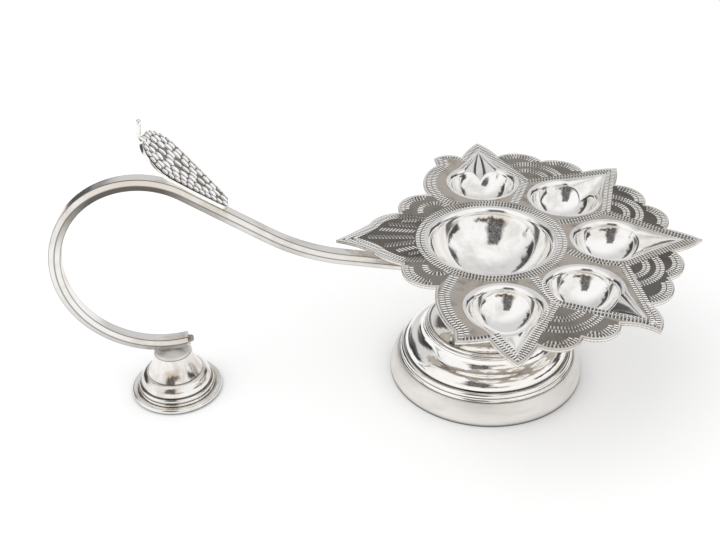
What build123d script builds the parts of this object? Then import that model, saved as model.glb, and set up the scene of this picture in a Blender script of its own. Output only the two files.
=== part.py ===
from build123d import *
import os
from math import asin, atan2, cos, degrees, radians, sin, sqrt, tan

# Five-wick aarti lamp in silver, in millimetres, +Z up.
# The origin is on the floor under the centre of the round base.
# The handle lies in the plane y = 0 and leaves the base towards -X.

# Round base, a stack of spun rings from the floor up
BASE_RADIUS = 39.5
SHEET = 1.2
BAND_HEIGHT = 9.0
BAND_TOP_RADIUS = 36.0
BAND_SWELL = 1.0
STEP_HEIGHT = 3.2
STEP_TOP_RADIUS = 33.3
STEP_SWELL = 0.8
OGEE_HEIGHT = 9.3
OGEE_TOP_RADIUS = 25.1
SHOULDER_HEIGHT = 1.8
SHOULDER_TOP_RADIUS = 23.2
SHOULDER_SWELL = 0.6
RING_LEDGE = 0.4
RING_SEAT = 3.0
NECK_WAIST_RADIUS = 14.5
SEAT_RADIUS = 16.5
SEAT_BORE_RADIUS = 9.0
SEAT_HEIGHT = 4.0

# Flower tray, with angles of each petal's outline measured from the petal's middle line
TRAY_HEIGHT = 61.2
TRAY_THICKNESS = 1.2
TRAY_TURN = -6.0
PETAL_PITCH = 45.0
PETAL_LEANS = (2.0, -2.0, -1.0, -0.5, 0.0)
PETAL_TIP_RADIUS = 80.4
PETAL_ROOT_RADIUS = 68.5
PETAL_ROOT_ANGLE = 6.8
PETAL_SIDE_RISE = 0.7
HOOKED_PETAL = 2
HOOK_LEAN = -1.7
HOOK_FRONT_RISE = -1.5
HOOK_BACK_RISE = 2.5
SCALLOP_RISE = 4.6
FRONT_PETAL_CUT = 2.0
TONGUE_TIP_RADIUS = 59.6

# Sides of the tray from the tongue to the end petals, as (front, back), sawn by eye and not quite alike
HORN_NOTCH_RADII = (64.6, 67.5)
HORN_NOTCH_ANGLES = (6.8, 6.4)
HORN_RADII = (67.8, 69.0)
HORN_ANGLES = (16.7, 16.4)
HORN_RISES = (0.5, 2.7)
HORN_HEEL_RADII = (62.1, 63.0)
HORN_HEEL_ANGLES = (18.1, 17.0)
FLANK_RISES = (2.6, 3.9)
FLANK_END_RADII = (39.3, 41.7)
FLANK_END_ANGLES = (36.4, 33.2)
SIDE_SCALLOP_RISES = (5.0, 5.5)
TONGUE_ROOT_RADII = (38.2, 40.3)
TONGUE_ROOT_ANGLES = (26.2, 30.4)
TONGUE_RISES = (1.1, 2.3)
TONGUE_MIDDLE_RADII = (46.5, 48.4)
TONGUE_MIDDLE_ANGLES = (9.0, 14.0)
TONGUE_HOLLOWS = (0.8, 0.3)

# Oil bowls, measured inside, with the wick bowls placed at a share of the petal tips' radius
CENTRE_BOWL_RADIUS = 23.6
CENTRE_BOWL_DEPTH = 19.0
WICK_BOWL_RADIUS = 13.4
WICK_BOWL_DEPTH = 11.0
WICK_BOWL_SHARE = 0.5634
SPOUT_REACH = 25.0
SPOUT_DEPTH = 6.5
SPOUT_PINCH = 0.86
SPOUT_ROOT_SHARE = 0.6
BOWL_WALL = 1.0
LIP_WIDTH = 0.8
LIP_HEIGHT = 0.3

# Handle bar, a stout six-sided rod bent into straights and arcs
BAR_WIDTH = 5.6
BAR_FLAT = 4.4
BAR_THICKNESS = 4.5
BAR_ROOT_DROP = 11.05
BAR_ROOT_SLOPE = 11.0
BAR_BEND_PLACE = 56.8
LIFT_RADIUS = 77.0
LIFT_ANGLE = 23.0
BAR_SECOND_RUN = 36.2
LOOP_TOP_RADIUS = 31.6
LOOP_TOP_ANGLE = 93.2
LOOP_LOW_RADIUS = 37.5
LOOP_LOW_ANGLE = 133.8
PLUG_RADIUS = 1.4
PLUG_LENGTH = 2.0
PLUG_ROUND = 0.9

# Small round foot under the free end of the handle
FOOT_RADIUS = 18.1
FOOT_UNDERCUT = 0.5
FOOT_INSET = 6.8
FLANGE_HEIGHT = 2.0
FLANGE_RIM_WIDTH = 2.0
CHANNEL_DEPTH = 0.7
FOOT_STEP_HEIGHT = 3.4
FOOT_STEP_RADIUS = 14.4
FOOT_STEP_SPREAD = 0.5
FOOT_ROLL_HEIGHT = 4.5
FOOT_ROLL_RISE = 0.9
BELL_BASE_RADIUS = 11.4
BELL_TOP_RADIUS = 7.4
BELL_HOLLOW = 0.55
CAP_HEIGHT = 1.9
CAP_BEVEL_HEIGHT = 0.7
CAP_TOP_RADIUS = 6.7
CAP_BOSS_RADIUS = 2.0

# Thumb leaf, soldered on the straight of the handle
LEAF_PLACE = 17.0
LEAF_SLOPE = 45.5
LEAF_LENGTH = 42.5
LEAF_ROOT_PLACE = 2.6
LEAF_ROOT_HALF_WIDTH = 2.4
LEAF_HEEL_PLACE = 4.6
LEAF_HEEL_HALF_WIDTH = 4.3
LEAF_WIDEST_PLACE = 29.5
LEAF_HALF_WIDTH = 13.4
LEAF_SIDE_RISE = 0.3
LEAF_SHOULDER_RISE = 4.6
LEAF_THICKNESS = 2.0
LEAF_SEAT_LENGTH = 6.0
LEAF_SEAT_DEPTH = 2.0
BEAD_PITCH = 2.4
BEAD_RADIUS = 1.1
BEAD_WIRE = 0.35
BEAD_INSET = 1.5
MIDRIB_RADIUS = 0.6
MIDRIB_MARGIN = 4.0
CURL_RADIUS = 3.0
CURL_ANGLE = 52.0
CURL_STEM = 5.7
CURL_WIDTH = 2.6

nodes = {}


def polar(radius, angle):
    """Point of the XY plane at a radius and at an angle in degrees."""
    return Vector(radius * cos(radians(angle)), radius * sin(radians(angle)))


def bowed(start, end, rise):
    """Arc from start to end that swells by rise to the right of the way, or to the left if negative."""
    way = end - start
    side = Vector(way.Y, -way.X).normalized()
    return ThreePointArc(start, (start + end) * 0.5 + side * rise, end)


def turned(*lines):
    """Solid of revolution about Z, from a closed outline drawn as (radius, height)."""
    return revolve(Plane.XZ * make_face(lines), axis=Axis.Z)


def ring(bore, low, low_radius, high, top_radius, swell):
    """Turned ring with flat ends and a bore, whose outer side swells between its two radii."""
    foot_in = Vector(bore, low)
    foot_out = Vector(low_radius, low)
    top_out = Vector(top_radius, high)
    top_in = Vector(bore, high)
    return turned(
        Line(foot_in, foot_out),
        bowed(foot_out, top_out, swell),
        Line(top_out, top_in),
        Line(top_in, foot_in),
    )


# Base rings, each seated on the flat top of the one below
step_low = BAND_HEIGHT
ogee_low = step_low + STEP_HEIGHT
shoulder_low = ogee_low + OGEE_HEIGHT
neck_low = shoulder_low + SHOULDER_HEIGHT
step_bore = STEP_TOP_RADIUS - RING_SEAT
shoulder_bore = SHOULDER_TOP_RADIUS - RING_SEAT

band_foot = Vector(BASE_RADIUS, 0)
band_edge = Vector(BAND_TOP_RADIUS, BAND_HEIGHT)
band_under = BAND_HEIGHT - SHEET
nodes["base_band"] = turned(
    bowed(band_foot, band_edge, BAND_SWELL),
    Line(band_edge, (step_bore, BAND_HEIGHT)),
    Line((step_bore, BAND_HEIGHT), (step_bore, band_under)),
    Line((step_bore, band_under), (BAND_TOP_RADIUS - SHEET, band_under)),
    bowed(Vector(BAND_TOP_RADIUS - SHEET, band_under), Vector(BASE_RADIUS - SHEET, 0), -BAND_SWELL),
    Line((BASE_RADIUS - SHEET, 0), band_foot),
)
nodes["base_step_ring"] = ring(
    step_bore, step_low, BAND_TOP_RADIUS - RING_LEDGE, ogee_low, STEP_TOP_RADIUS, STEP_SWELL
)


def ogee(foot, top):
    """S-shaped pair of arcs, upright at both ends, that meet half way between foot and top."""
    middle = (foot + top) * 0.5
    return [TangentArc(foot, middle, tangent=(0, 1)), TangentArc(top, middle, tangent=(0, -1))]


ogee_foot = Vector(STEP_TOP_RADIUS - RING_LEDGE, ogee_low)
ogee_top = Vector(OGEE_TOP_RADIUS, shoulder_low)
ogee_inner_foot = ogee_foot - Vector(SHEET, 0)
ogee_inner_top = ogee_top - Vector(SHEET, SHEET)
ogee_lip = Vector(shoulder_bore, shoulder_low)
ogee_inner_lip = ogee_lip - Vector(0, SHEET)
nodes["base_ogee"] = turned(
    *ogee(ogee_foot, ogee_top),
    Line(ogee_top, ogee_lip),
    Line(ogee_lip, ogee_inner_lip),
    Line(ogee_inner_lip, ogee_inner_top),
    *ogee(ogee_inner_foot, ogee_inner_top),
    Line(ogee_inner_foot, ogee_foot),
)
nodes["base_shoulder_ring"] = ring(
    shoulder_bore, shoulder_low, OGEE_TOP_RADIUS, neck_low, SHOULDER_TOP_RADIUS, SHOULDER_SWELL
)

# Round bowls are parts of balls whose centre lies over the tray
tray_top = Plane.XY.offset(TRAY_HEIGHT)


def ball_radius(radius, depth):
    """Radius of the ball that leaves a bowl of this rim radius and depth."""
    return (radius**2 + depth**2) / (2 * depth)


def ball_height(radius, depth):
    """Height of that ball's centre over the tray."""
    return ball_radius(radius, depth) - depth


def bowl_body(radius, depth, wall):
    """Solid part of the ball below the tray's top face, one wall larger than the bowl."""
    size = ball_radius(radius, depth) + wall
    lift = ball_height(radius, depth)
    rim = sqrt(size**2 - lift**2)
    return turned(
        Line((0, lift - size), (0, 0)),
        Line((0, 0), (rim, 0)),
        JernArc((0, lift - size), (1, 0), size, degrees(atan2(rim, lift))),
    )


def rim_radius(radius, depth):
    """Outer radius of a bowl's wall at the tray's top face."""
    return sqrt((ball_radius(radius, depth) + BOWL_WALL) ** 2 - ball_height(radius, depth) ** 2)


centre_rim = rim_radius(CENTRE_BOWL_RADIUS, CENTRE_BOWL_DEPTH)
centre_outer = bowl_body(CENTRE_BOWL_RADIUS, CENTRE_BOWL_DEPTH, BOWL_WALL)
centre_inner = bowl_body(CENTRE_BOWL_RADIUS, CENTRE_BOWL_DEPTH, 0)
lip_inside = Vector(CENTRE_BOWL_RADIUS, 0)
lip_outside = Vector(centre_rim + LIP_WIDTH, 0)
centre_lip = turned(
    bowed(lip_outside, lip_inside, LIP_HEIGHT),
    Line(lip_inside, lip_outside),
)
nodes["centre_bowl"] = tray_top * (centre_outer - centre_inner + centre_lip)

# Bowl seat and neck carry the centre bowl on the base
seat_low = TRAY_HEIGHT - CENTRE_BOWL_DEPTH - BOWL_WALL
seat_high = seat_low + SEAT_HEIGHT
centre_ball = tray_top * centre_outer
seat_blank = turned(
    Line((SEAT_BORE_RADIUS, seat_low), (SEAT_RADIUS, seat_low)),
    Line((SEAT_RADIUS, seat_low), (SEAT_RADIUS, seat_high)),
    Line((SEAT_RADIUS, seat_high), (SEAT_BORE_RADIUS, seat_high)),
    Line((SEAT_BORE_RADIUS, seat_high), (SEAT_BORE_RADIUS, seat_low)),
)
nodes["bowl_seat"] = seat_blank - centre_ball

neck_foot_radius = SHOULDER_TOP_RADIUS - RING_LEDGE
neck_middle = (neck_low + seat_low) / 2
neck_foot = Vector(neck_foot_radius, neck_low)
neck_top = Vector(SEAT_RADIUS, seat_low)
neck_inner_foot = Vector(neck_foot_radius - SHEET, neck_low)
neck_inner_top = Vector(SEAT_RADIUS - SHEET, seat_low)
nodes["pedestal_neck"] = turned(
    ThreePointArc(neck_foot, (NECK_WAIST_RADIUS, neck_middle), neck_top),
    Line(neck_top, neck_inner_top),
    ThreePointArc(neck_inner_top, (NECK_WAIST_RADIUS - SHEET, neck_middle), neck_inner_foot),
    Line(neck_inner_foot, neck_foot),
)

# Wick bowls, drawn at the origin with the spout towards +X and then set into the petals
spout_half_angle = asin(SPOUT_PINCH * WICK_BOWL_RADIUS / SPOUT_REACH)
spout_root = SPOUT_ROOT_SHARE * WICK_BOWL_RADIUS
wick_rim = rim_radius(WICK_BOWL_RADIUS, WICK_BOWL_DEPTH)


def spout_tip(margin):
    """Distance from the bowl's centre to the tip of a spout grown by a margin all round."""
    return SPOUT_REACH + margin / sin(spout_half_angle)


def spout_body(margin):
    """Keel-shaped wedge from the bowl's side up to the spout's tip."""
    tip = Vector(spout_tip(margin), 0, 0)
    half = (tip.X - spout_root) * tan(spout_half_angle)
    left = Vector(spout_root, half, 0)
    right = Vector(spout_root, -half, 0)
    keel = Vector(spout_root, 0, -SPOUT_DEPTH - margin)
    corners = [(left, right, keel), (left, right, tip), (left, keel, tip), (right, keel, tip)]
    return Solid(Shell([Face(Wire.make_polygon(three)) for three in corners]))


def teardrop(radius, margin):
    """Bowl's mouth in plan: a circle whose front is drawn out to the spout's tip."""
    tip = spout_tip(margin)
    slope = tan(spout_half_angle)
    reach = sqrt(radius**2 * (1 + slope**2) - (tip * slope) ** 2)
    join_place = (tip * slope**2 + reach) / (1 + slope**2)
    join = Vector(join_place, (tip - join_place) * slope)
    other_join = Vector(join.X, -join.Y)
    return make_face(
        [
            ThreePointArc(join, (-radius, 0), other_join),
            Line(other_join, (tip, 0)),
            Line((tip, 0), join),
        ]
    )


wick_outer = bowl_body(WICK_BOWL_RADIUS, WICK_BOWL_DEPTH, BOWL_WALL) + spout_body(BOWL_WALL)
wick_inner = bowl_body(WICK_BOWL_RADIUS, WICK_BOWL_DEPTH, 0) + spout_body(0)
wick_lip = extrude(teardrop(wick_rim + LIP_WIDTH, BOWL_WALL + LIP_WIDTH), LIP_HEIGHT)
wick_mouth = extrude(teardrop(WICK_BOWL_RADIUS, 0), LIP_HEIGHT)
wick_bowl = wick_outer - wick_inner + (wick_lip - wick_mouth)

# Petal angles, from the front petal round to the back one
petal_count = len(PETAL_LEANS)
petal_angles = []
for index, lean in enumerate(PETAL_LEANS):
    petal_angles.append((index - (petal_count - 1) / 2) * PETAL_PITCH + lean)


def petal_place(angle):
    """Place of a wick bowl in the petal at this angle of the tray."""
    turn = Rot(0, 0, TRAY_TURN + angle)
    return Pos(0, 0, TRAY_HEIGHT) * turn * Pos(PETAL_TIP_RADIUS * WICK_BOWL_SHARE, 0, 0)


for index, angle in enumerate(petal_angles):
    nodes[f"wick_bowl_{index + 1}"] = petal_place(angle) * wick_bowl


def petal_tip(number):
    """Tip of a petal, counted from the front: the front petal is cut short and the hooked one leans."""
    radius = PETAL_TIP_RADIUS - (FRONT_PETAL_CUT if number == 1 else 0)
    return polar(radius, petal_angles[number - 1] + (HOOK_LEAN if number == HOOKED_PETAL else 0))


def tongue_side(number, side, way):
    """Steps from the tongue's tip to an end petal's tip, with side 0 and way 1 in front, 1 and -1 behind."""
    angle = petal_angles[number - 1]
    return [
        (polar(TONGUE_TIP_RADIUS, 180), 0),
        (polar(TONGUE_MIDDLE_RADII[side], 180 + way * TONGUE_MIDDLE_ANGLES[side]), -TONGUE_HOLLOWS[side]),
        (polar(TONGUE_ROOT_RADII[side], 180 + way * TONGUE_ROOT_ANGLES[side]), TONGUE_RISES[side]),
        (polar(FLANK_END_RADII[side], angle - way * FLANK_END_ANGLES[side]), SIDE_SCALLOP_RISES[side]),
        (polar(HORN_HEEL_RADII[side], angle - way * HORN_HEEL_ANGLES[side]), FLANK_RISES[side]),
        (polar(HORN_RADII[side], angle - way * HORN_ANGLES[side]), 0),
        (polar(HORN_NOTCH_RADII[side], angle - way * HORN_NOTCH_ANGLES[side]), HORN_RISES[side]),
        (petal_tip(number), PETAL_SIDE_RISE),
    ]


def gap_steps(number):
    """Steps from a petal's tip over two scallops to the tip of the petal that follows."""
    angle, following = petal_angles[number - 1], petal_angles[number]
    back_rise = HOOK_BACK_RISE if number == HOOKED_PETAL else PETAL_SIDE_RISE
    front_rise = HOOK_FRONT_RISE if number + 1 == HOOKED_PETAL else PETAL_SIDE_RISE
    return [
        (petal_tip(number), 0),
        (polar(PETAL_ROOT_RADIUS, angle + PETAL_ROOT_ANGLE), back_rise),
        (polar(PETAL_ROOT_RADIUS, (angle + following) / 2), SCALLOP_RISE),
        (polar(PETAL_ROOT_RADIUS, following - PETAL_ROOT_ANGLE), SCALLOP_RISE),
        (petal_tip(number + 1), front_rise),
    ]


def outline(steps, way):
    """Lines and arcs through (point, rise) steps, the rise being the swell of the arc that ends there."""
    lines = []
    for (start, _), (end, rise) in zip(steps, steps[1:]):
        lines.append(bowed(start, end, way * rise) if rise else Line(start, end))
    return lines


# Tray plate with a hole that fits each bowl
tray_lines = outline(tongue_side(1, 0, 1), 1) + outline(tongue_side(petal_count, 1, -1), -1)
for number in range(1, petal_count):
    tray_lines += outline(gap_steps(number), 1)
plate = extrude(make_face(tray_lines), -TRAY_THICKNESS)
plate = Pos(0, 0, TRAY_HEIGHT) * Rot(0, 0, TRAY_TURN) * plate - centre_ball
for angle in petal_angles:
    plate = plate - petal_place(angle) * wick_outer
nodes["tray_plate"] = plate

# Handle bar, swept along straights and arcs from the bowl's wall to the foot
bar_root_height = TRAY_HEIGHT - BAR_ROOT_DROP
ball_centre_height = TRAY_HEIGHT + ball_height(CENTRE_BOWL_RADIUS, CENTRE_BOWL_DEPTH)
ball_size = ball_radius(CENTRE_BOWL_RADIUS, CENTRE_BOWL_DEPTH) + BOWL_WALL
bar_root_place = sqrt(ball_size**2 - (ball_centre_height - bar_root_height) ** 2)
bar_first_run = (BAR_BEND_PLACE - bar_root_place) / cos(radians(BAR_ROOT_SLOPE))
bar_root = Vector(-bar_root_place, bar_root_height)
bar_way = Vector(-cos(radians(BAR_ROOT_SLOPE)), sin(radians(BAR_ROOT_SLOPE)))
first_run = Line(bar_root - bar_way * BAR_THICKNESS, bar_root + bar_way * bar_first_run)
lift = JernArc(first_run @ 1, first_run % 1, LIFT_RADIUS, -LIFT_ANGLE)
second_run = Line(lift @ 1, lift @ 1 + (lift % 1) * BAR_SECOND_RUN)
loop_top = JernArc(second_run @ 1, second_run % 1, LOOP_TOP_RADIUS, LOOP_TOP_ANGLE)
loop_low = JernArc(loop_top @ 1, loop_top % 1, LOOP_LOW_RADIUS, LOOP_LOW_ANGLE)
bar_path = Plane.XZ * Wire([first_run, lift, second_run, loop_top, loop_low])
bar_section_plane = Plane(bar_path @ 0, x_dir=(0, 1, 0), z_dir=bar_path % 0)
bar_section = make_face(
    Polyline(
        (BAR_WIDTH / 2, 0),
        (BAR_FLAT / 2, BAR_THICKNESS / 2),
        (-BAR_FLAT / 2, BAR_THICKNESS / 2),
        (-BAR_WIDTH / 2, 0),
        (-BAR_FLAT / 2, -BAR_THICKNESS / 2),
        (BAR_FLAT / 2, -BAR_THICKNESS / 2),
        close=True,
    )
)
bar = sweep(bar_section_plane * bar_section, path=bar_path)
nodes["handle_bar"] = bar - centre_ball - nodes["bowl_seat"]

# Plug that closes the free end of the bar
plug_plane = Plane(bar_path @ 1, z_dir=bar_path % 1)
plug = Cylinder(PLUG_RADIUS, PLUG_LENGTH, align=(Align.CENTER, Align.CENTER, Align.MIN))
plug = fillet(plug.edges().group_by(Axis.Z)[-1], PLUG_ROUND)
nodes["handle_end_plug"] = plug_plane * plug

# Foot: its bell takes up the height that is left under the bar
loop_centre = loop_low.arc_center
foot_place = (loop_low @ 1).X - FOOT_INSET
bar_middle_over_foot = loop_centre.Y - sqrt(LOOP_LOW_RADIUS**2 - (foot_place - loop_centre.X) ** 2)
bar_under_over_foot = bar_middle_over_foot - BAR_THICKNESS / 2
flange_floor = FLANGE_HEIGHT - CHANNEL_DEPTH
roll_low = flange_floor + FOOT_STEP_HEIGHT
bell_low = roll_low + FOOT_ROLL_HEIGHT
cap_low = bar_under_over_foot - CAP_HEIGHT
foot_bore = BELL_BASE_RADIUS - RING_SEAT
foot = Pos(foot_place, 0, 0)

flange_foot = Vector(FOOT_RADIUS - FOOT_UNDERCUT, 0)
flange_side = Vector(FOOT_RADIUS, FLANGE_HEIGHT / 2)
flange_rim = Vector(FOOT_RADIUS - FOOT_UNDERCUT, FLANGE_HEIGHT)
rim_inside = Vector(FOOT_RADIUS - FLANGE_RIM_WIDTH, FLANGE_HEIGHT)
channel = Vector(FOOT_STEP_RADIUS + FOOT_STEP_SPREAD, flange_floor)
nodes["foot_flange"] = foot * turned(
    Line((foot_bore, 0), flange_foot),
    ThreePointArc(flange_foot, flange_side, flange_rim),
    Line(flange_rim, rim_inside),
    Line(rim_inside, channel),
    Line(channel, (foot_bore, flange_floor)),
    Line((foot_bore, flange_floor), (foot_bore, 0)),
)
nodes["foot_step_ring"] = foot * ring(
    foot_bore, flange_floor, FOOT_STEP_RADIUS + FOOT_STEP_SPREAD, roll_low, FOOT_STEP_RADIUS, FOOT_STEP_SPREAD
)
nodes["foot_roll_ring"] = foot * ring(
    foot_bore, roll_low, FOOT_STEP_RADIUS - RING_LEDGE, bell_low, BELL_BASE_RADIUS, FOOT_ROLL_RISE
)
bell_foot = Vector(BELL_BASE_RADIUS - RING_LEDGE, bell_low)
bell_top = Vector(BELL_TOP_RADIUS, cap_low)
nodes["foot_bell"] = foot * turned(
    bowed(bell_foot, bell_top, -BELL_HOLLOW),
    Line(bell_top, bell_top - Vector(SHEET, 0)),
    bowed(bell_top - Vector(SHEET, 0), bell_foot - Vector(SHEET, 0), BELL_HOLLOW),
    Line(bell_foot - Vector(SHEET, 0), bell_foot),
)
cap_bevel = Vector(CAP_TOP_RADIUS, cap_low + CAP_BEVEL_HEIGHT)
cap_boss = Vector(CAP_BOSS_RADIUS, bar_under_over_foot)
cap_blank = turned(
    Line((0, cap_low), (BELL_TOP_RADIUS, cap_low)),
    Line((BELL_TOP_RADIUS, cap_low), cap_bevel),
    Line(cap_bevel, cap_boss),
    Line(cap_boss, (CAP_BOSS_RADIUS, bar_middle_over_foot)),
    Line((CAP_BOSS_RADIUS, bar_middle_over_foot), (0, bar_middle_over_foot)),
    Line((0, bar_middle_over_foot), (0, cap_low)),
)
nodes["foot_cap"] = foot * cap_blank - bar

# Thumb leaf: a thick cast plate in its own plane, x along its spine and z out of its face,
# with a wedge under its root that sits on the bar's flat
second_way = second_run % 0
bar_top_way = Vector(second_way.Y, -second_way.X)
leaf_foot = second_run @ 0 + second_way * LEAF_PLACE + bar_top_way * (BAR_THICKNESS / 2)
leaf_origin = Vector(leaf_foot.X, 0, leaf_foot.Y)
leaf_way = Vector(-cos(radians(LEAF_SLOPE)), 0, sin(radians(LEAF_SLOPE)))
leaf_face_way = Vector(sin(radians(LEAF_SLOPE)), 0, cos(radians(LEAF_SLOPE)))
leaf_plane = Plane(leaf_origin, x_dir=leaf_way, z_dir=leaf_face_way)
leaf_root = Vector(LEAF_ROOT_PLACE, -LEAF_ROOT_HALF_WIDTH)
leaf_heel = Vector(LEAF_HEEL_PLACE, -LEAF_HEEL_HALF_WIDTH)
leaf_widest = Vector(LEAF_WIDEST_PLACE, -LEAF_HALF_WIDTH)
leaf_tip = Vector(LEAF_LENGTH, -CURL_WIDTH / 2)
leaf_side = bowed(leaf_heel, leaf_widest, LEAF_SIDE_RISE)
leaf_shoulder = bowed(leaf_widest, leaf_tip, LEAF_SHOULDER_RISE)
half_lines = [Line(leaf_root, leaf_heel), leaf_side, leaf_shoulder]
closing = [
    Line(leaf_tip, (LEAF_LENGTH, 0)),
    Line((LEAF_LENGTH, 0), (LEAF_ROOT_PLACE, 0)),
    Line((LEAF_ROOT_PLACE, 0), leaf_root),
]
half_leaf = make_face(half_lines + closing)
whole_leaf = half_leaf + mirror(half_leaf, about=Plane.XZ)
seat_middle = Pos(LEAF_ROOT_PLACE + LEAF_SEAT_LENGTH / 2, 0, -LEAF_SEAT_DEPTH / 2)
leaf_seat = seat_middle * Box(LEAF_SEAT_LENGTH, BAR_FLAT, LEAF_SEAT_DEPTH)
nodes["thumb_leaf"] = leaf_plane * (extrude(whole_leaf, LEAF_THICKNESS) + leaf_seat) - bar

# Border of half-round wire rings on the leaf's face, along both edges
bead_wire = turned(
    ThreePointArc(
        (BEAD_RADIUS, 0), (BEAD_RADIUS - BEAD_WIRE, BEAD_WIRE), (BEAD_RADIUS - 2 * BEAD_WIRE, 0)
    ),
    Line((BEAD_RADIUS - 2 * BEAD_WIRE, 0), (BEAD_RADIUS, 0)),
)
leaf_top = leaf_plane.offset(LEAF_THICKNESS)
beads = []
for edge in (leaf_side, leaf_shoulder):
    count = int(edge.length / BEAD_PITCH)
    for index in range(count):
        share = (index + 0.5) / count
        inwards = (edge % share).cross(Vector(0, 0, -1))
        place = edge @ share + inwards * BEAD_INSET
        for side in (1, -1):
            beads.append(leaf_top * Pos(place.X, side * place.Y, 0) * bead_wire)
nodes["leaf_border_rings"] = Compound(children=beads)

# Half-round midrib and the curled tip
midrib_half = make_face(
    [
        ThreePointArc((MIDRIB_RADIUS, 0), (0, MIDRIB_RADIUS), (-MIDRIB_RADIUS, 0)),
        Line((-MIDRIB_RADIUS, 0), (MIDRIB_RADIUS, 0)),
    ]
)
midrib_plane = Plane(leaf_top.origin + leaf_way * MIDRIB_MARGIN, x_dir=(0, -1, 0), z_dir=leaf_way)
nodes["leaf_midrib"] = extrude(midrib_plane * midrib_half, LEAF_LENGTH - 2 * MIDRIB_MARGIN)
curl_start = leaf_origin + leaf_way * LEAF_LENGTH + leaf_face_way * (LEAF_THICKNESS / 2)
curl = JernArc((curl_start.X, curl_start.Z), (leaf_way.X, leaf_way.Z), CURL_RADIUS, -CURL_ANGLE)
stem = Line(curl @ 1, curl @ 1 + (curl % 1) * CURL_STEM)
curl_path = Plane.XZ * Wire([curl, stem])
curl_plane = Plane(curl_start, x_dir=(0, 1, 0), z_dir=leaf_way)
nodes["leaf_tip_curl"] = sweep(curl_plane * Rectangle(CURL_WIDTH, LEAF_THICKNESS), path=curl_path)

os.makedirs("parts", exist_ok=True)
for name, solid in nodes.items():
    export_step(solid, f"parts/{name}.step")
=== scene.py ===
import bmesh
import bpy
import numpy as np
from mathutils import Matrix, Vector


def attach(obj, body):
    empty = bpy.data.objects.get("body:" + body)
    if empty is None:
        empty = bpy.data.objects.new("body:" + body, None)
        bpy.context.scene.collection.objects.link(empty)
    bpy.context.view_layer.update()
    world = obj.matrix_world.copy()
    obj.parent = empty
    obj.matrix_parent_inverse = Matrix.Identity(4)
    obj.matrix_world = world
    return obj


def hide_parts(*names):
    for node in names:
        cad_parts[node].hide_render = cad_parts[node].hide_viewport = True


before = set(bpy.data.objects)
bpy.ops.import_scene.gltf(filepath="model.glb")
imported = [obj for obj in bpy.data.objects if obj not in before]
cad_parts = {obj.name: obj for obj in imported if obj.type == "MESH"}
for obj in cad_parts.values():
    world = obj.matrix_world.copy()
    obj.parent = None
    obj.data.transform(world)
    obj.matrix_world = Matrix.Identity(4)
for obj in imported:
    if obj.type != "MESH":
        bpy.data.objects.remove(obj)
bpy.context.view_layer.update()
scene = bpy.context.scene

# Base band: the wide ring that stands on the table, spun from one sheet of silver and left open
# underneath. Its outer side was brought to a satin finish on the wheel, with fine lines round it.


def arc(start, end, rise, count=16):
    """Points of the arc from start up to, but without, end. Its middle swells by rise to the right of
    the way, so half its angle is twice the angle whose tangent is 2 rise / chord."""
    start, end = np.array(start, float), np.array(end, float)
    chord = np.linalg.norm(end - start)
    way = (end - start) / chord
    side = np.array([way[1], -way[0]])
    half = 2 * np.arctan2(2 * rise, chord)
    radius = chord / (2 * np.sin(half))
    turn = np.linspace(-half, half, count, endpoint=False)[:, None]
    centre = (start + end) / 2 + side * (rise - radius)
    return centre + radius * (side * np.cos(turn) + way * np.sin(turn))


def run_of(line):
    """Length of a line from its start to each of its points."""
    return np.r_[0, np.cumsum(np.linalg.norm(np.diff(line, axis=0), axis=1))]


def taken(places, run, line):
    """Points of a line at places along it, where run tells how far along each of its own points is."""
    return np.stack([np.interp(places, run, column) for column in line.T], axis=-1)


def softened(corners, edge, closed=True):
    """Outline with rounded corners: it is cut into even steps, each point becomes the mean of its
    neighbours under a bell curve of width edge, and points are then kept closer where it turns."""
    even_step, longest_step, most_turn = 0.05, 0.9, np.radians(7)
    corners = np.array(corners, float)
    ring = np.vstack([corners, corners[:1]]) if closed else corners
    run = run_of(ring)
    line = taken(np.linspace(0, run[-1], int(run[-1] / even_step), endpoint=not closed), run, ring)
    reach = int(4 * edge / even_step) + 1
    bell = np.exp(-0.5 * (np.arange(-reach, reach + 1) * even_step / edge) ** 2)
    bell /= bell.sum()
    if closed:
        padded = np.vstack([line[-reach:], line, line[:reach]])
    else:
        padded = np.pad(line, ((reach, reach), (0, 0)), "reflect", reflect_type="odd")
    line = np.stack([np.convolve(column, bell, "valid") for column in padded.T], axis=1)
    again = np.vstack([line, line[:1]]) if closed else line
    step = np.diff(again, axis=0)
    way = np.unwrap(np.arctan2(step[:, 1], step[:, 0]))
    whole_turns = np.round((way[-1] - way[0]) / (2 * np.pi)) * 2 * np.pi
    bend = np.abs(np.diff(np.r_[way, way[:1] + whole_turns]))
    if not closed:
        bend[-1] = 0
    measure = np.r_[0, np.cumsum(np.linalg.norm(step, axis=1) / longest_step + bend / most_turn)]
    places = np.linspace(0, measure[-1], int(measure[-1]) + 2, endpoint=not closed)
    return taken(places, measure, again)


def seam_marks(outline, seams):
    """How much painted shade each point of an outline gets: 1 on a seam (x, y, reach) and less beside it,
    as a bell curve of the distance over reach."""
    away = [np.hypot(outline[:, 0] - x, outline[:, 1] - y) / reach for x, y, reach in seams]
    return np.exp(-np.min(away, axis=0) ** 2)


def finer(outline, seams, longest_step=0.15, near=1.2):
    """Closed outline with steps under longest_step wherever a seam is nearer than near."""
    points = []
    for start, end in zip(outline, np.roll(outline, -1, axis=0)):
        away = min(np.hypot(*(point - seam[:2])) for point in (start, end) for seam in seams)
        count = int(np.linalg.norm(end - start) / longest_step) + 1 if away < near else 1
        points += [start + (end - start) * step / count for step in range(count)]
    return np.array(points)


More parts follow.
